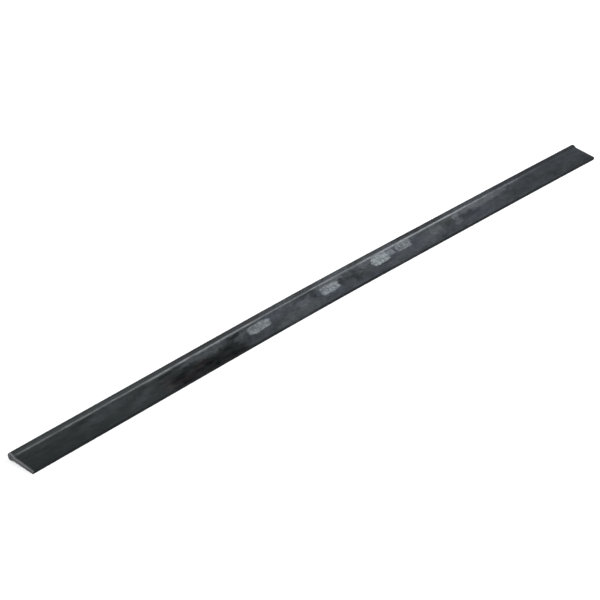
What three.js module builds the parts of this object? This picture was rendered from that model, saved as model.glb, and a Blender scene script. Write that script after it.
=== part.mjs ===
// Rubber wear strip for the lower edge of an ATV snow plow: one solid extrusion with a round
// bead along one long edge, a flat web that thins towards the wear edge, and square-cut ends.
// The bead slides endways into a round channel on the plow, and the web hangs out of it.
// Millimetres, +Z up. The strip lies flat as it rests on a level floor: +X runs along its
// length, the bead is on the +Y side and the wear edge on the -Y side. The origin is the centre
// of the bounding box's bottom face.
import * as THREE from "three";

// Driving dimensions
const LENGTH = 1524; // end to end, for a 60 inch plow
const WIDTH = 63.5; // outside of the bead to the wear edge
const BEAD_DIAMETER = 15;
const ROOT_THICKNESS = 8.5; // web thickness at the near side of the bead's circle
const TIP_THICKNESS = 6.35; // web thickness at the wear edge, before its corners are rounded
const NECK_FILLET = 5; // hollow radius between the bead and the web, both sides
const TIP_CORNER = 0.8; // rounding of the wear edge's two corners
const CAMBER = 7.7; // how far mid-length stands off a straight line between the ends, towards +Y

// Facet counts
const BEAD_SEGMENTS = 30; // both halves of the bead together
const NECK_SEGMENTS = 5;
const TIP_SEGMENTS = 3;
const LENGTH_STEPS = 18;

// The cross-section is drawn as [u, v] from the bead's axis, before it is tilted to rest: u runs
// from the wear edge (negative) to the bead, v is the height over the web's mid-plane.
const beadRadius = BEAD_DIAMETER / 2;
const tipU = beadRadius - WIDTH;
const taper = (ROOT_THICKNESS - TIP_THICKNESS) / 2 / (-beadRadius - tipU); // rise of a face per mm
const faceAngle = Math.atan(taper);

// Height of the web's upper face, extended past the web where needed.
const faceHeight = (u) => TIP_THICKNESS / 2 + taper * (u - tipU);

// Centre of the upper corner's rounding, which touches the tip face and the web's face.
const cornerU = tipU + TIP_CORNER;
const cornerV = faceHeight(cornerU) - TIP_CORNER / Math.cos(faceAngle);

function arc(centreU, centreV, radius, from, to, segments) {
  return Array.from({ length: segments + 1 }, (_, i) => {
    const angle = from + ((to - from) * i) / segments;
    return [centreU + radius * Math.cos(angle), centreV + radius * Math.sin(angle)];
  });
}

// Upper half of the cross-section, from the wear edge to the bead's outermost point.
function upperHalf() {
  const faceNormal = faceAngle + Math.PI / 2;

  // The fillet's centre lies one fillet radius off both the web's face and the bead. Its
  // direction from the bead's axis follows from its distance to a line through that axis
  // parallel to the face.
  const reach = beadRadius + NECK_FILLET;
  const offset = faceHeight(0) * Math.cos(faceAngle) + NECK_FILLET;
  const neckAngle = Math.PI + faceAngle - Math.asin(offset / reach);
  const neckU = reach * Math.cos(neckAngle);
  const neckV = reach * Math.sin(neckAngle);

  const corner = arc(cornerU, cornerV, TIP_CORNER, Math.PI, faceNormal, TIP_SEGMENTS);
  const neck = arc(
    neckU,
    neckV,
    NECK_FILLET,
    faceNormal - Math.PI,
    neckAngle - Math.PI,
    NECK_SEGMENTS,
  );
  const bead = arc(0, 0, beadRadius, neckAngle, 0, BEAD_SEGMENTS / 2);
  return [...corner, ...neck, ...bead.slice(1)]; // the neck already ends on the bead's first point
}

// The tilt at which the bead and the wear edge's lower corner both touch the floor.
function restAngle() {
  const cornerDistance = Math.hypot(cornerU, cornerV);
  return Math.asin((beadRadius - TIP_CORNER) / cornerDistance) - Math.atan2(cornerV, -cornerU);
}

// Whole outline, tilted to rest.
function restingSection() {
  const upper = upperHalf();
  const lower = upper
    .slice(0, -1) // the bead's outermost point is shared
    .map(([u, v]) => [u, -v])
    .reverse();
  const tilt = restAngle();
  const cos = Math.cos(tilt);
  const sin = Math.sin(tilt);
  const points = [...upper, ...lower].map(([u, v]) => {
    const y = u * cos - v * sin;
    const z = v * cos + u * sin;
    // The sweep's first frame axis points down and its second one across, towards the bead.
    return new THREE.Vector2(-z, y);
  });
  return new THREE.Shape(points);
}

// A parabola through both ends. Its control point stands off twice as far as the curve bows.
function camberedSpine() {
  return new THREE.QuadraticBezierCurve3(
    new THREE.Vector3(-LENGTH / 2, 0, 0),
    new THREE.Vector3(0, 2 * CAMBER, 0),
    new THREE.Vector3(LENGTH / 2, 0, 0),
  );
}

function blackRubber() {
  return new THREE.MeshStandardMaterial({ color: 0x2b2f32, roughness: 0.5, metalness: 0 });
}

function bladeStrip() {
  const geometry = new THREE.ExtrudeGeometry(restingSection(), {
    steps: LENGTH_STEPS,
    bevelEnabled: false,
    extrudePath: camberedSpine(),
  });
  geometry.computeBoundingBox();
  const { min, max } = geometry.boundingBox;

  const strip = new THREE.Mesh(geometry, blackRubber());
  strip.name = "blade_strip";
  strip.position.set(-(min.x + max.x) / 2, -(min.y + max.y) / 2, -min.z);
  return strip;
}

const part = new THREE.Group();
part.add(bladeStrip());

export default part;
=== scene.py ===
"""A strip of black rubber blade, lying on a white floor.

The strip runs along X, centred on x = 0 and bowed towards +Y. Its section is a round bead on
the +Y side and a tapering web that reaches towards -Y and ends in the narrow wear face. The
bead and the web's lower corner rest on the floor, z = 0. Metres throughout.
"""
import bpy, math
import numpy as np
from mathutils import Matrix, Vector


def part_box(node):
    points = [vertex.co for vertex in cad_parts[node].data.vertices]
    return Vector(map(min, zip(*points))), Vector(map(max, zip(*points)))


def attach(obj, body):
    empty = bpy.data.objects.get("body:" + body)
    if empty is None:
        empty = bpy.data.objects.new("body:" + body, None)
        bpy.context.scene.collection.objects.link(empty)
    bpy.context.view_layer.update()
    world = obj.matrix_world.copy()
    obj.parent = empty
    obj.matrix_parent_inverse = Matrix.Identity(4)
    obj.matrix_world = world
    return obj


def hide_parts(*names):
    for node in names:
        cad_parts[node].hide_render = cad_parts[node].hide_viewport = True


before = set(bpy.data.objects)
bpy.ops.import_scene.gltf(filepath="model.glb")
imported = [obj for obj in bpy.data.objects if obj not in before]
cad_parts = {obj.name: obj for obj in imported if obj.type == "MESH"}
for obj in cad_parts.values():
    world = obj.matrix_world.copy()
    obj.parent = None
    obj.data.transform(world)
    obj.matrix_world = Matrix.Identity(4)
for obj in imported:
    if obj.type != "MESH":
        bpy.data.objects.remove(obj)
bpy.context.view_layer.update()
box_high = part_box("blade_strip")[1]

# ---------------------------------------------------------------- dimensions
CHORD = 1.524  # length of the strip
WIDTH = 0.0635  # wear face to the far side of the bead
BEAD_R = 0.0075
ROOT, TIP = 0.0085, 0.00635  # web thickness at the bead and at the wear face
FILLET = 0.005  # hollow between web and bead
CORNER = 0.0008  # rounding of the wear face's corners
CAMBER = 0.0077  # sideways bow at mid-length
CUT_BEVEL = 0.00022

WEB_N, BEAD_N, FILLET_N, CORNER_N = 26, 20, 10, 4  # steps along each part of the outline
CAP_ROWS = 6  # subdivisions of the cut faces and of the wear face, top to bottom
STATIONS = 720

axis_y_end = box_high.y - BEAD_R - CAMBER
axis_z = BEAD_R


# ---------------------------------------------------------------- section
# u runs across the strip from the bead's centre, negative towards the wear face; v is up.
def arc(centre_u, centre_v, radius, start, end, count):
    angles = [start + (end - start) * i / count for i in range(count + 1)]
    return [(centre_u + radius * math.cos(a), centre_v + radius * math.sin(a)) for a in angles]


def upper_half():
    """Upper outline from wear face to bead, and the angle at which the section rests."""
    tip_u = -(WIDTH - BEAD_R)
    half_tip = TIP / 2
    taper = (ROOT - TIP) / 2 / (-BEAD_R - tip_u)
    lean = math.hypot(1, taper)
    normal = math.atan2(1, -taper)
    corner_u = tip_u + CORNER
    corner_v = half_tip + taper * CORNER - CORNER * lean
    points = arc(corner_u, corner_v, CORNER, math.pi, normal, CORNER_N)

    # the fillet touches both web and bead: its centre is where their offsets cross
    offset_v = half_tip - taper * tip_u + FILLET * lean
    reach = BEAD_R + FILLET
    a, b, c = 1 + taper**2, 2 * taper * offset_v, offset_v * offset_v - reach * reach
    fillet_u = (-b - math.sqrt(b * b - 4 * a * c)) / (2 * a)
    fillet_v = offset_v + taper * fillet_u
    beta = math.atan2(fillet_v, fillet_u)
    neck = arc(fillet_u, fillet_v, FILLET, normal - math.pi, beta - math.pi, FILLET_N)

    # web: finer next to the corner and next to the neck
    start, end = points[-1], neck[0]
    for i in range(1, WEB_N):
        eased = 0.5 - 0.5 * math.cos(math.pi * i / WEB_N)
        f = 0.6 * eased + 0.4 * i / WEB_N
        points.append((start[0] + (end[0] - start[0]) * f, start[1] + (end[1] - start[1]) * f))
    points += neck
    for i in range(1, BEAD_N + 1):
        angle = beta * (1 - i / BEAD_N)
        points.append((BEAD_R * math.cos(angle), BEAD_R * math.sin(angle)))

    # tip the section about the bead until its lower corner meets the floor (Newton)
    angle = 0.0
    for _ in range(20):
        gap = BEAD_R - CORNER - corner_v * math.cos(angle) + corner_u * math.sin(angle)
        angle -= gap / (corner_v * math.sin(angle) + corner_u * math.cos(angle))
    return np.array(points), angle


upper, rest = upper_half()
half_n = len(upper)
ring = [tuple(p) for p in upper] + [(p[0], -p[1]) for p in upper[-2::-1]]
wear_u, wear_v = upper[0]
ring += [(wear_u, -wear_v + 2 * wear_v * i / CAP_ROWS) for i in range(1, CAP_ROWS)]
ring = np.array(ring)
ring_n = len(ring)
lengths = np.linalg.norm(np.roll(ring, -1, 0) - ring, axis=1)
ring_girth = np.concatenate([[0], np.cumsum(lengths)[:-1]])
ring_side = np.sign(ring[:, 1])
tangent = np.roll(ring, -1, 0) - np.roll(ring, 1, 0)
tangent /= np.linalg.norm(tangent, axis=1)[:, None]
outward = np.stack([-tangent[:, 1], tangent[:, 0]], 1)  # the outline runs clockwise


# ---------------------------------------------------------------- stations along the strip
def spline(knots, values, x):
    """Natural cubic spline through evenly spaced knots."""
    n, h = len(values), knots[1] - knots[0]
    matrix = np.zeros((n, n))
    right = np.zeros(n)
    matrix[0, 0] = matrix[-1, -1] = 1
    for i in range(1, n - 1):
        matrix[i, i - 1 : i + 2] = 1, 4, 1
        right[i] = 6 * (values[i - 1] - 2 * values[i] + values[i + 1]) / h**2
    m = np.linalg.solve(matrix, right)
    i = np.clip(((x - knots[0]) / h).astype(int), 0, n - 2)
    after, before = knots[i + 1] - x, x - knots[i]
    cubic = (m[i] * after**3 + m[i + 1] * before**3) / (6 * h)
    left = (values[i] / h - m[i] * h / 6) * after
    return cubic + left + (values[i + 1] / h - m[i + 1] * h / 6) * before


even = np.linspace(0, 1, STATIONS)
crowded = 0.55 * even + 0.45 * (0.5 - 0.5 * np.cos(math.pi * even))  # closer at the cut ends
inner = (crowded * CHORD)[1:-1]
dist = np.concatenate([[0, CUT_BEVEL], inner, [CHORD - CUT_BEVEL, CHORD]])
station_n = len(dist)
axis_x = dist - CHORD / 2
share = dist / CHORD
# the loose rubber wanders sideways by under a millimetre; values in mm at even knots
WANDER = np.array([0.31, -0.87, 0.18, 0.85, -0.29, -0.25, 0.06])
wander = 1e-3 * spline(np.linspace(0, 1, 7), WANDER, share)
axis_y = axis_y_end + 4 * CAMBER * share * (1 - share) + wander
slope = np.gradient(axis_y, axis_x)
slope_len = np.hypot(1, slope)
normal_x, normal_y = -slope / slope_len, 1 / slope_len


# ---------------------------------------------------------------- unevenness of the extrusion
def waves(seed, lengths, heights):
    """Sum of smooth waves along the strip, with seeded phases, as a column."""
    rng = np.random.default_rng(seed)
    out = np.zeros_like(dist)
    for length, height in zip(lengths, heights):
        phase = rng.uniform(0, 2 * math.pi, 2)
        swell = 0.65 + 0.35 * np.sin(2 * math.pi * dist / (length * 3.7) + phase[1])
        out += height * np.sin(2 * math.pi * dist / length + phase[0]) * swell
    return out[:, None]


def notch(centre, half):
    t = np.clip(1 - np.abs(dist - centre) / half, 0, 1)
    return t * t * (3 - 2 * t)


WEB_HEIGHTS = (0.05e-3, 0.035e-3, 0.02e-3, 0.012e-3)
web_wave = waves(11, (0.31, 0.147, 0.083, 0.046), WEB_HEIGHTS)
under_wave = waves(12, (0.23, 0.119, 0.061, 0.037), WEB_HEIGHTS)
neck_wave = waves(13, (0.19, 0.094, 0.052, 0.03), (0.07e-3, 0.06e-3, 0.035e-3, 0.02e-3))
bead_wave = waves(14, (0.27, 0.13, 0.07), (0.03e-3, 0.02e-3, 0.012e-3))

# weights of the parts of the outline
U = ring[None, :, 0]
web_w = np.clip((-0.0085 - U) / 0.004, 0, 1) * np.clip((U + 0.0565) / 0.003, 0, 1)
neck_w = np.exp(-(((U + 0.0075) / 0.0028) ** 2))
bead_w = np.clip((U + 0.006) / 0.003, 0, 1)
edge_w = np.exp(-(((U + 0.0556) / 0.0009) ** 2))
top_w = np.clip(ring_side, 0, 1)[None, :]
tilt = (U + 0.032) / 0.024

web_disp = web_wave * top_w + under_wave * (1 - top_w) + 0.6 * under_wave * tilt * top_w
disp = web_w * web_disp
disp = disp + neck_w * neck_wave * top_w + neck_w * bead_wave * (1 - top_w) + bead_w * bead_wave
# a faint rib along the bead and two shallow drag lines on the web: place u, width, height
for line_u, width, height in (
    (0.0043, 0.00045, 0.00006),
    (-0.0182, 0.0012, -0.00005),
    (-0.0435, 0.0016, -0.00004),
):
    faces_w = np.where(line_u > 0, 1.0, top_w)
    disp = disp + height * np.exp(-(((U - line_u) / width) ** 2)) * faces_w

# small nicks along the wear edge's upper and lower corners: least and greatest depth
NICK_DEPTHS = ((0.05e-3, 0.22e-3), (0.03e-3, 0.12e-3))
rng = np.random.default_rng(41)
nicks = np.zeros((2, station_n))
for _ in range(26):
    for nick, depths in zip(nicks, NICK_DEPTHS):
        nick -= rng.uniform(*depths) * notch(
            rng.uniform(0.02, CHORD - 0.02), rng.uniform(0.003, 0.009)
        )
for nick, corner_w in zip(nicks, (top_w, 1 - top_w)):
    disp = disp + nick[:, None] * (edge_w * corner_w)
disp[[0, -1]] -= CUT_BEVEL

skin_u = ring[None, :, 0] + disp * outward[None, :, 0]
skin_v = ring[None, :, 1] + disp * outward[None, :, 1]


# ---------------------------------------------------------------- strip mesh
def place(u, v, station, shift_x=0.0):
    """World position of section coordinates at one or many stations."""
    cos_rest, sin_rest = math.cos(rest), math.sin(rest)
    side_y, up_z = u * cos_rest - v * sin_rest, v * cos_rest + u * sin_rest
    x = axis_x[station] + shift_x + side_y * normal_x[station]
    return np.stack([x, axis_y[station] + side_y * normal_y[station], axis_z + up_z], -1)


skin = place(skin_u, skin_v, np.arange(station_n)[:, None])
skin[..., 2] = np.maximum(skin[..., 2], 0.0)  # the rubber flattens on the floor

ATTRIBUTES = ("along", "across", "girth", "side", "rim")
skin_values = np.stack([
    np.repeat(dist, ring_n),
    np.tile(ring[:, 0], station_n),
    np.tile(ring_girth, station_n),
    np.tile(ring_side, station_n),
    np.repeat(np.exp(-np.minimum(dist, CHORD - dist) / 0.0012), ring_n),
], 1)

faces, slots = [], []  # slot 0 is the skin, slot 1 the cut
for i in range(station_n - 1):
    a, b = i * ring_n, (i + 1) * ring_n
    for j in range(ring_n):
        k = (j + 1) % ring_n
        faces.append((a + j, b + j, b + k, a + k))
        slots.append(1 if i in (0, station_n - 2) else 0)

cap_points, cap_values = [], []


def cap_point(station, column, f, sign):
    """Adds a cut-face point at share f from the upper to the lower outline."""
    top = np.array([skin_u[station, column], skin_v[station, column]])
    mirror = 2 * half_n - 2 - column
    u, v = top * (1 - f) + np.array([skin_u[station, mirror], skin_v[station, mirror]]) * f
    # shallow relief of the cut: a long and a short ripple, fading at the outline
    relief = 0.00004 * math.sin(2 * math.pi * u / 0.0071 + 1.3 * sign)
    relief += 0.00003 * math.sin(2 * math.pi * (u + 0.6 * v) / 0.0029)
    relief *= math.sin(math.pi * f)
    cap_points.append(place(u, v, station, sign * (relief - 0.00002)))
    rim = math.exp(-min(f, 1 - f) * 2 * abs(top[1]) / 0.0006)
    cap_values.append((dist[station], u, v, 0.0, rim))
    return station_n * ring_n + len(cap_points) - 1


def cap(station, sign):
    """Cut face as a grid between the upper and lower outline; sign is its X direction."""
    first = station * ring_n
    grid = []
    for q in range(half_n):
        if q == 0:
            middle = [first + ring_n - r for r in range(1, CAP_ROWS)]
        elif q == half_n - 1:
            middle = [first + q] * (CAP_ROWS - 1)
        else:
            middle = [cap_point(station, q, r / CAP_ROWS, sign) for r in range(1, CAP_ROWS)]
        grid.append([first + q, *middle, first + 2 * half_n - 2 - q])
    for q in range(half_n - 1):
        for r in range(CAP_ROWS):
            face = [grid[q][r], grid[q][r + 1], grid[q + 1][r + 1], grid[q + 1][r]]
            if q == half_n - 2:  # triangles meet at the bead's far point
                face = [grid[q][r], grid[q][r + 1], grid[q + 1][0]]
            faces.append(tuple(face if sign > 0 else face[::-1]))
            slots.append(1)


def add_object(name, data):
    obj = bpy.data.objects.new(name, data)
    bpy.context.scene.collection.objects.link(obj)
    return obj


cap(0, -1)
cap(station_n - 1, 1)
points = np.concatenate([skin.reshape(-1, 3), np.array(cap_points)])
values = np.concatenate([skin_values, np.array(cap_values)])

strip_mesh = bpy.data.meshes.new("rubber_strip")
strip_mesh.from_pydata(points.tolist(), [], faces)
strip_mesh.update()
for name, column in zip(ATTRIBUTES, values.T):
    attribute = strip_mesh.attributes.new(name, "FLOAT", "POINT")
    attribute.data.foreach_set("value", column.astype(np.float32))
strip_mesh.polygons.foreach_set("material_index", slots)
strip_mesh.polygons.foreach_set("use_smooth", [slot == 0 for slot in slots])
strip = add_object("rubber_strip", strip_mesh)
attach(strip, "root")
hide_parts("blade_strip")


# ---------------------------------------------------------------- shader helpers
class Field:
    """An output socket; arithmetic on it adds Math nodes."""

    def __init__(self, nodes, socket):
        self.nodes, self.socket = nodes, socket

    def math(self, operation, *others):
        return self.nodes.math(operation, self, *others)

    def __add__(self, other):
        return self.math("ADD", other)

    def __radd__(self, other):
        return self.nodes.math("ADD", other, self)

    def __sub__(self, other):
        return self.math("SUBTRACT", other)

    def __rsub__(self, other):
        return self.nodes.math("SUBTRACT", other, self)

    def __mul__(self, other):
        return self.math("MULTIPLY", other)

    def __pow__(self, other):
        return self.math("POWER", other)

    def __abs__(self):
        return self.math("ABSOLUTE")

    def ramp(self, low, high, start, end):
        """Smooth change from start to end while this goes from low to high."""
        inputs = dict(enumerate((self, low, high, start, end)))
        return self.nodes.field("MapRange", inputs, interpolation_type="SMOOTHSTEP")

    def rise(self, low, high):
        return self.ramp(low, high, 0, 1)

    def fall(self, low, high):
        return self.ramp(low, high, 1, 0)

    def band(self, low, high, soft):
        """1 between low and high, with edges of half-width soft."""
        return self.rise(low - soft, low + soft) * self.fall(high - soft, high + soft)

    def mix(self, under, over):
        """Colour going from under to over as this goes from 0 to 1."""
        return self.nodes.field("Mix", {0: self, 6: under, 7: over}, 2, data_type="RGBA")

    def lerp(self, under, over):
        return self.nodes.field("Mix", {0: self, 2: under, 3: over}, data_type="FLOAT")

    def tint(self, factor):
        inputs = {0: self, "Scale": factor}
        return self.nodes.field("VectorMath", inputs, operation="SCALE")


class Nodes:
    """Adds nodes to one node tree."""

    def __init__(self, tree):
        self.tree = tree

    def put(self, socket, value):
        if isinstance(value, Field):
            self.tree.links.new(value.socket, socket)
        else:
            socket.default_value = (*value, 1.0) if socket.type == "RGBA" else value

    def add(self, kind, inputs=None, **settings):
        node = self.tree.nodes.new("ShaderNode" + kind)
        for key, value in settings.items():
            setattr(node, key, value)
        for key, value in (inputs or {}).items():
            self.put(node.inputs[key], value)
        return node

    def field(self, kind, inputs=None, output=0, **settings):
        return Field(self, self.add(kind, inputs, **settings).outputs[output])

    def math(self, operation, *values):
        return self.field("Math", dict(enumerate(values)), operation=operation)

    def attribute(self, name):
        return self.field("Attribute", output="Fac", attribute_name=name)

    def vector(self, x, y, z):
        return self.field("CombineXYZ", {0: x, 1: y, 2: z})

    def noise(self, at, scale=1, detail=3, rough=0.5, distort=0):
        """Noise at a vector field or at an (x, y, z) tuple."""
        return self.field("TexNoise", {
            "Vector": self.vector(*at) if isinstance(at, tuple) else at,
            "Scale": scale,
            "Detail": detail,
            "Roughness": rough,
            "Distortion": distort,
        }, "Fac")

    def bumps(self, *layers):
        """Normal from stacked layers of (height, distance, strength)."""
        normal = {}
        for height, distance, strength in layers:
            inputs = {"Strength": strength, "Distance": distance, "Height": height, **normal}
            normal = {"Normal": self.field("Bump", inputs, "Normal")}
        return normal["Normal"]

    def surface(self, inputs):
        self.add("OutputMaterial", {0: self.field("BsdfPrincipled", inputs)})


def new_material(name):
    material = bpy.data.materials.new(name)
    material.use_nodes = True
    material.node_tree.nodes.clear()
    return material, Nodes(material.node_tree)


# ---------------------------------------------------------------- rubber skin: coordinates
rubber, rub_nodes = new_material("rubber")
noise = rub_nodes.noise
along, across, girth, side = map(rub_nodes.attribute, ATTRIBUTES[:4])
topside = side.rise(-0.2, 0.2)
flat = rub_nodes.vector(along, girth, 0)
warp_a = (noise(flat, scale=14, detail=2) - 0.5) * 0.06
warp_b = (noise((girth, along, 3.1), scale=18, detail=2) - 0.5) * 0.02
along_w, across_w = along + warp_a, across + warp_b
# finer raggedness for the outlines of smudges
rag_a = warp_a * 0.22 + (noise((along, girth, 0.4), scale=75, detail=4, rough=0.65) - 0.5) * 0.042
rag_b = warp_b * 0.4 + (noise((along, girth, 0.9), scale=95, detail=4, rough=0.65) - 0.5) * 0.026

# masks of the section's parts; the neck's edges sway along the strip
sway = (noise((along * 17, 0, 6), rough=0.6) - 0.5) * 0.0022
across_n = across + (sway + 0.0003)
neck = across_n.rise(-0.0098, -0.0074) * across_n.fall(-0.0062, -0.0042)
halo = across_n.rise(-0.014, -0.0082) * across_n.fall(-0.0072, -0.005)
bead = across.rise(-0.0062, -0.0042)
face = across.fall(-0.0556, -0.0548)  # the wear face


def blob(at_along, at_across, half_a, half_b, lean=0, soft=0.45):
    """Soft leaning patch with a ragged outline."""
    da = along + rag_a * 1 - at_along
    db = across + rag_b * 1 - at_across
    da = da - db * lean
    r2 = (da * (1 / half_a)) ** 2 + (db * (1 / half_b)) ** 2
    return r2.fall(max(0.0, 1 - 1.4 * soft), 1 + 2.4 * soft)


def patches(table):
    return [blob(*shape) * strength for strength, *shape in table]


def strongest(*parts):
    result = parts[0]
    for part in parts[1:]:
        result = result.math("MAXIMUM", part)
    return result


# ---------------------------------------------------------------- rubber skin: film
# wax bloom and handling film: patchy, streaked along the strip, wiped on a slant
cloud = noise((along_w * 7, girth * 26, 0), detail=5, rough=0.55, distort=0.3)
wipe_at = ((along + girth * 0.9) * 30, (girth - along * 0.5) * 80, 2)
wipe = noise(wipe_at, detail=4, rough=0.6)
drag = noise((along * 3, girth * 420, 4), rough=0.6)
speck = noise((along * 230, girth * 230, 6), rough=0.6)
film = (cloud * 0.42 + wipe * 0.28 + (drag * 0.1 + speck * 0.2)).rise(0.37, 0.63)

# how much film there is along the strip: thin on the first third, more past mid-length
amount = 0.3 + along_w.rise(0.49, 0.545) * 0.52
amount = amount * along_w.ramp(1.08, 1.36, 1, 0.66) * along_w.ramp(0.08, 0.2, 0.56, 1)
edge_fade = across_w.ramp(-0.052, -0.03, 0.78, 0.96)
by_neck = across_w.rise(-0.03, -0.01) * along_w.band(0.58, 1.22, soft=0.05) * 0.4
far_loss = across_w.rise(-0.034, -0.012) * along_w.rise(1.27, 1.36) * 0.16
amount = amount * edge_fade + by_neck - far_loss

# a dark zone wiped clean before mid-length
wiped = along - across * 1.1
wiped_n = noise((wiped * 34, across * 90, 8), detail=4, rough=0.62)
zone = along.band(0.318, 0.512, soft=0.03) + (wiped_n - 0.5) * 1.5
dark_zone = zone.rise(0.38, 1.05) * (across + rag_b * 0.8).ramp(-0.036, -0.016, 1, 0.12)

# patches: strength, then blob's along, across, half sizes, lean and softness
CLEAN = (
    (0.75, 0.342, -0.0155, 0.022, 0.005, 2),
    (0.8, 0.498, -0.014, 0.022, 0.0048, 1),
    (0.62, 0.782, -0.024, 0.006, 0.012, 0.5, 0.6),
    (0.66, 0.819, -0.027, 0.006, 0.018, 0.3, 0.6),
    (0.62, 0.838, -0.02, 0.0055, 0.005, 0, 0.6),
    (0.22, 0.8, -0.02, 0.03, 0.007, 1, 0.6),
    (0.55, 0.71, -0.02, 0.01, 0.01),
    (0.4, 1.15, -0.03, 0.03, 0.01, 1.2),
    (0.4, 1.05, -0.048, 0.006, 0.008, 0.4),
    (0.18, 1.21, -0.048, 0.07, 0.012, 1),
)
PALE = (
    (0.62, 0.675, -0.028, 0.017, 0.008, 1), (0.3, 0.7, -0.018, 0.013, 0.005, 1),
    (0.34, 0.63, -0.016, 0.03, 0.008, 2), (0.4, 0.52, -0.022, 0.01, 0.007, 2),
    (0.75, 0.76, -0.012, 0.032, 0.0035, 3), (0.62, 0.86, -0.015, 0.017, 0.006, 1.5),
    (0.6, 0.955, -0.012, 0.032, 0.0045, 2), (0.62, 1.052, -0.024, 0.015, 0.009, 1),
    (0.3, 1.02, -0.038, 0.018, 0.009, 1), (1.15, 1.119, -0.019, 0.008, 0.008, 0.8, 0.5),
    (0.55, 1.114, -0.033, 0.011, 0.007, 1.5, 0.6), (0.75, 1.178, -0.013, 0.03, 0.005, 3),
    (0.85, 1.215, -0.017, 0.038, 0.007, 1.5), (0.6, 1.262, -0.012, 0.028, 0.0045, 2),
    (0.42, 0.395, -0.015, 0.028, 0.0055, 2), (0.5, 0.45, -0.018, 0.033, 0.008, 2),
    (0.34, 0.65, -0.048, 0.045, 0.011, 1), (0.3, 0.94, -0.048, 0.045, 0.011, 1),
    (0.1, 0.07, -0.015, 0.05, 0.006, 2), (0.2, 0.2, -0.02, 0.048, 0.011, 2),
    (0.2, 0.265, -0.034, 0.02, 0.012, 2),
)
clean = strongest(dark_zone, *patches(CLEAN))
pale = strongest(*patches(PALE))
patch = noise((along * 60, girth * 110, 3), detail=5, rough=0.65)
pale = pale * topside * patch.ramp(0.28, 0.66, 0.45, 1.25)
film = film * amount * (1 - clean * topside * 0.92) * (1 - face * 0.8)
film = film * bead.lerp(1, along_w.ramp(1.05, 1.36, 0.85, 0.76))
film = film + bead * along_w.ramp(0.1, 0.55, 0.3, 0.05) * along.ramp(0.005, 0.06, 0.35, 1)

# ---------------------------------------------------------------- rubber skin: ink
slant = along - (across + 0.023) * 0.38


def block(a0, a1, b0, b1, strength):
    """Slanted block from a0 to a1 along and b0 to b1 across, with rounded corners."""
    a = slant + rag_a * 0.42
    b = across + rag_b * 0.42
    da = abs((a - (a0 + a1) / 2) * (2 / (a1 - a0)))
    db = abs((b - (b0 + b1) / 2) * (2 / (b1 - b0)))
    return (da**5 + db**5).fall(0.6, 1.75) * strength


# pale ink blocks, each of worn slanted dashes in two rows
blocks = strongest(
    block(0.536, 0.590, -0.0345, -0.0135, strength=0.70),
    block(0.728, 0.773, -0.0360, -0.0155, strength=0.86),
    block(0.873, 0.915, -0.0335, -0.0100, strength=1.06),
    block(0.915, 0.933, -0.0270, -0.0095, strength=0.55),
    block(0.941, 0.983, -0.0290, -0.0090, strength=0.62),
)
ROW_PITCH = 0.0118
dash = noise((slant * 330, across * 90, 7), rough=0.6).rise(0.32, 0.58)
rows = abs(((across + warp_b * 0.3 + 0.0125) * (math.pi / ROW_PITCH)).math("SINE"))
rows = rows.ramp(0.05, 0.55, 0.4, 1)
worn = noise((along * 75, across * 75, 9), detail=4, rough=0.65).rise(0.3, 0.62)
holes = noise((slant * 420, across * 260, 15), detail=2, rough=0.6).ramp(0.34, 0.5, 0.6, 1)
ink = blocks * topside * (0.3 + dash * rows * 0.7) * (0.42 + worn * 0.58) * holes

# ---------------------------------------------------------------- rubber skin: residue and painted highlight
# pale residue lying in the hollow, with the hollow's highlight painted into the same streak,
# uneven along the length
streak_noise = noise((along * 24, girth * 60, 11), detail=5, rough=0.72)
streak_amount = 0.31 + along_w.band(0.31, 0.56, soft=0.03) * 0.26 + (
    along_w.band(0.855, 1.155, soft=0.03) * 0.57 + along_w.band(1.075, 1.14, soft=0.02) * 0.14
)
streak_amount = streak_amount + (
    along_w.band(0.72, 0.775, soft=0.015) * 0.09 - along_w.band(0.6, 0.71, soft=0.02) * 0.07
)
streak_amount = streak_amount - along.band(0.785, 0.845, soft=0.012) * 0.14
streak_amount = streak_amount + along_w.band(0.105, 0.175, soft=0.02) * 0.14
streak_amount = streak_amount * along_w.ramp(1.13, 1.25, 1, 0.55) * along_w.fall(1.28, 1.42)
streak_amount = streak_amount * along.rise(0.002, 0.014)
residue_and_highlight = neck * topside * streak_noise.ramp(0.26, 0.68, 0.42, 1.12) * streak_amount
# where the residue has been smeared out of the hollow, and a painted spread of the hollow's
# highlight around it
smear_and_sheen = strongest(
    along_w.band(0.3, 0.52, soft=0.03),
    along_w.band(0.77, 0.85, soft=0.02) * 0.8,
    along_w.band(1.07, 1.36, soft=0.04),
)
smear_and_sheen = smear_and_sheen * halo * topside * streak_noise.ramp(0.34, 0.62, 0.15, 1)

# ---------------------------------------------------------------- rubber skin: colour
base_n = noise((along_w * 11, girth * 45, 5), detail=4, rough=0.55)
black = base_n.mix((0.0036, 0.0062, 0.0070), (0.0078, 0.0108, 0.0117))
brown = strongest(
    blob(0.412, -0.033, 0.012, 0.007, lean=1),
    blob(0.365, -0.045, 0.03, 0.005, lean=1),
    blob(0.32, -0.04, 0.012, 0.012, lean=0.5),
) * 0.5
black = (bead * 0.8 + clean * 0.7).mix(black, (0.0068, 0.0080, 0.0086))
black = black.tint(1 - clean * 0.35)
black = brown.mix(black, (0.0150, 0.0095, 0.0100))

# film: greenish on the near part, then grey to bluish patches
blue_n = noise((along_w * 9, girth * 40, 21), detail=4, rough=0.6)
bluish = (blue_n + along_w.ramp(1.12, 1.3, 0, 0.07)).rise(0.36, 0.62)
film_far = bluish.mix((0.047, 0.056, 0.060), (0.043, 0.050, 0.070))
film_far = (bead * 0.85).mix(film_far, (0.048, 0.0545, 0.0605))
film_colour = along_w.rise(0.47, 0.56).mix((0.0260, 0.0370, 0.0400), film_far)

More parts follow.
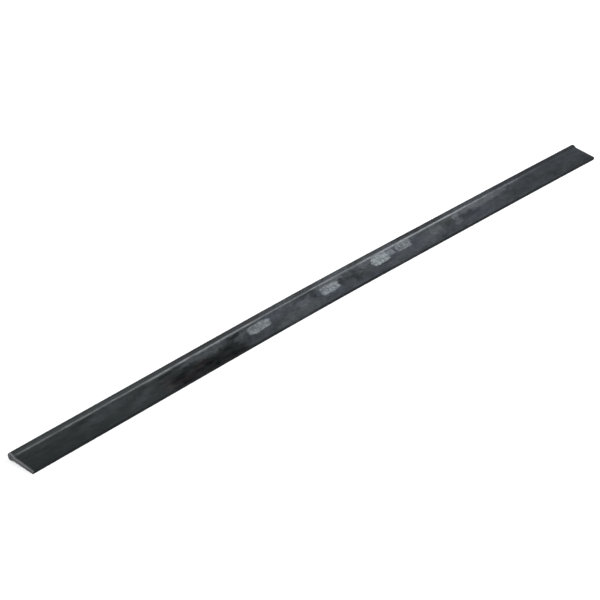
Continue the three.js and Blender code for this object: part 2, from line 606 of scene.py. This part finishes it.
colour = film.mix(black, film_colour)
for cover, paint in (
    (pale * 0.42, (0.125, 0.136, 0.150)),
    # smeared residue and painted highlight spread around the hollow
    (smear_and_sheen * 0.24, (0.150, 0.160, 0.175)),
    # pale residue and a painted highlight in the hollow
    (residue_and_highlight, (0.185, 0.195, 0.207)),
    (ink * 0.92, (0.282, 0.313, 0.331)),
):
    colour = cover.mix(colour, paint)

# fine mottling of everything so far
mottle = noise(((along + girth * 0.5) * 150, girth * 190, 13), detail=5, rough=0.7)
fine = noise((along * 520, girth * 520, 17), detail=2, rough=0.6)
colour = colour.tint(mottle.ramp(0.24, 0.76, 0.66, 1.34) * fine.ramp(0.25, 0.75, 0.84, 1.16))

dust_at = rub_nodes.vector(along * 260, girth * 260, 0)
dust = rub_nodes.field("TexVoronoi", {"Vector": dust_at, "Scale": 1}, "Distance")
dust = dust.fall(0.05, 0.11) * noise(flat, scale=40, detail=1).rise(0.52, 0.62)
corner = across.fall(-0.0556, -0.0542) * across.rise(-0.0562, -0.0559)
rub = corner * noise((along * 90, 0, 0), detail=5, rough=0.65).rise(0.5, 0.66)
# painted highlight: a pale band on the top surface right beside the cut at the -X end
cut_edge_highlight = (along + rag_b * 0.15).fall(0.001, 0.0034) * topside
for cover, paint in (
    (dust * 0.45, (0.13, 0.13, 0.125)),
    (rub * 0.25, (0.045, 0.046, 0.047)),  # rubbed corners of the wear edge
    (cut_edge_highlight * 0.62, (0.115, 0.118, 0.122)),  # painted highlight beside the cut at the -X end, where the cut edge catches light
):
    colour = cover.mix(colour, paint)

# ---------------------------------------------------------------- rubber skin: finish
rough = 0.38 + film * 0.26 + (drag - 0.5) * 0.12 + (ink + pale) * 0.18
rough = bead.lerp(rough, 0.62 + (cloud - 0.5) * 0.15)
rough = neck.lerp(rough, along_w.ramp(1.14, 1.4, 0.36, 0.54))

polish = noise((wiped * 26, (girth + along * 0.25) * 62, 19), detail=4, rough=0.6)
polish = polish.ramp(0.32, 0.68, 0.74, 1.26)
spec = polish * 0.38 - clean * topside * 0.29 - along_w.ramp(1.2, 1.4, 0, 0.1)
spec = bead.lerp(bead.lerp(spec, 0.22), along_w.ramp(0.15, 1.3, 0.34, 0.1))
spec = spec * (1 - neck * along_w.ramp(1.18, 1.42, 0, 0.22))

rub_nodes.surface({
    "Base Color": colour,
    "Roughness": face.lerp(rough, 0.66),
    "Specular IOR Level": face.lerp(spec, 0.1),
    "Normal": rub_nodes.bumps(  # waviness, drag lines, grain
        (noise((along * 60, girth * 130, 2)), 0.00012, 0.6),
        (noise((along * 9, girth * 900, 1), rough=0.55), 0.00003, 0.6),
        (noise((along * 2600, girth * 2600, 0), detail=2), 0.000012, 0.7),
    ),
})


# ---------------------------------------------------------------- cut faces
def cut_material():
    material, nodes = new_material("rubber_cut")
    rim, across = nodes.attribute("rim"), nodes.attribute("across")
    at = nodes.field("TexCoord", output="Object")
    parts = nodes.add("SeparateXYZ", {0: at})
    y, z = (Field(nodes, parts.outputs[i]) for i in (1, 2))
    arcs = nodes.noise(((y + z * z * 14) * 900, z * 60, 0), detail=4, rough=0.6)
    mottle = nodes.noise(at, scale=420, detail=4, rough=0.6)
    grit = nodes.noise(at, scale=2600, detail=2, rough=0.6)
    tone = (mottle * 0.55 + arcs * 0.45).rise(0.35, 0.68)

    # a darker crescent inside the bead
    radius = ((across - 0.0012) ** 2 + (z - 0.0078) ** 2).math("SQRT")
    crescent = radius.band(0.0018, 0.0052, soft=0.0016) * across.rise(-0.005, -0.0035)
    crescent = crescent * nodes.noise(at, scale=210, rough=0.6).rise(0.3, 0.52)
    crescent = crescent * (z + across).ramp(0.0062, 0.012, 1, 0.45)
    # painted highlight along the upper edge of the cut face, where the edge catches light
    rim_highlight = rim * nodes.attribute("side").ramp(-0.4, 0.35, 0.3, 1)

    colour = tone.mix((0.050, 0.053, 0.058), (0.118, 0.119, 0.134))
    for cover, paint in (
        ((1 - z.rise(0.0015, 0.0075)) * 0.6, (0.044, 0.051, 0.046)),  # low down
        (across.ramp(-0.052, -0.036, 0.6, 0), (0.036, 0.038, 0.038)),  # towards the wear edge
        (crescent * 0.85, (0.032, 0.034, 0.036)),
        (rim_highlight * 0.66, (0.24, 0.245, 0.255)),
    ):
        colour = cover.mix(colour, paint)
    nodes.surface({
        "Base Color": colour,
        "Roughness": 0.62 + mottle * 0.2,
        "Specular IOR Level": 0.35,
        "Normal": nodes.bumps((arcs, 0.00012, 0.8), (grit, 0.00003, 0.7)),
    })
    return material


strip_mesh.materials.append(rubber)
strip_mesh.materials.append(cut_material())

# ---------------------------------------------------------------- floor and world
FLOOR_HALF = 8
floor_mesh = bpy.data.meshes.new("floor")
corners = [(x * FLOOR_HALF, y * FLOOR_HALF, 0) for x, y in ((-1, -1), (1, -1), (1, 1), (-1, 1))]
floor_mesh.from_pydata(corners, [], [(0, 1, 2, 3)])
floor = add_object("floor", floor_mesh)
floor_material, nodes = new_material("floor")
# the floor looks a little brighter than it is, so that the contact shadow stays faint
nodes.surface({
    "Base Color": (0.92, 0.92, 0.92),
    "Roughness": 0.9,
    "Specular IOR Level": 0.1,
    "Emission Color": (1, 1, 1),
    "Emission Strength": nodes.field("LightPath", output="Is Camera Ray") * 0.13,
})
floor_mesh.materials.append(floor_material)

world = bpy.data.worlds.new("world")
bpy.context.scene.world = world
world.use_nodes = True
nodes = Nodes(world.node_tree)
# a pale sweep low down, a darker ceiling: the web mirrors where one turns into the other
background = world.node_tree.nodes["Background"]
generated = nodes.field("TexCoord", output="Generated")
height = nodes.field("SeparateXYZ", {0: generated}, output=2)
nodes.put(background.inputs[0], (0.97, 0.985, 1.0))
nodes.put(background.inputs[1], height.ramp(0.44, 0.74, 0.58, 0.2))
# the camera itself sees the backdrop as plain white
seen = nodes.field("MixShader", {
    0: nodes.field("LightPath", output="Is Camera Ray"),
    1: Field(nodes, background.outputs[0]),
    2: nodes.field("Background", {0: (1, 1, 1)}),
})
nodes.put(world.node_tree.nodes["World Output"].inputs[0], seen)


# ---------------------------------------------------------------- lights
def point_along(obj, direction):
    obj.rotation_euler = direction.to_track_quat("-Z", "Y").to_euler()


KEY_DISTANCE = 4.5
key_light = bpy.data.lights.new("key", "AREA")
key_light.shape = "RECTANGLE"
key_light.size, key_light.size_y = 2.7, 1.8
key_light.energy = 104
key = add_object("key", key_light)
toward_key = Vector((1.38, -0.62, 1.85)).normalized()
key.location = toward_key * KEY_DISTANCE
point_along(key, -toward_key)

sun = bpy.data.lights.new("overhead", "SUN")
sun.energy = 2.3
sun.angle = math.radians(62)
point_along(add_object("overhead", sun), Vector((0.42, 0.30, -0.85)))

# ---------------------------------------------------------------- camera
HEADING, DIP = math.radians(43.56), math.radians(31.555)  # from +X towards +Y; downwards
CAMERA_DISTANCE = 3.673916
TARGET = Vector((0.682555 - CHORD / 2, -0.004609 + axis_y_end, axis_z))
forward = Vector((
    math.cos(HEADING) * math.cos(DIP),
    math.sin(HEADING) * math.cos(DIP),
    -math.sin(DIP),
))
lens = bpy.data.cameras.new("camera")
camera = add_object("camera", lens)
camera.location = TARGET - forward * CAMERA_DISTANCE
point_along(camera, forward)
lens.sensor_width = 36
lens.lens = 119.334
lens.clip_end = 100
bpy.context.scene.camera = camera
bpy.context.scene.view_settings.view_transform = "Standard"
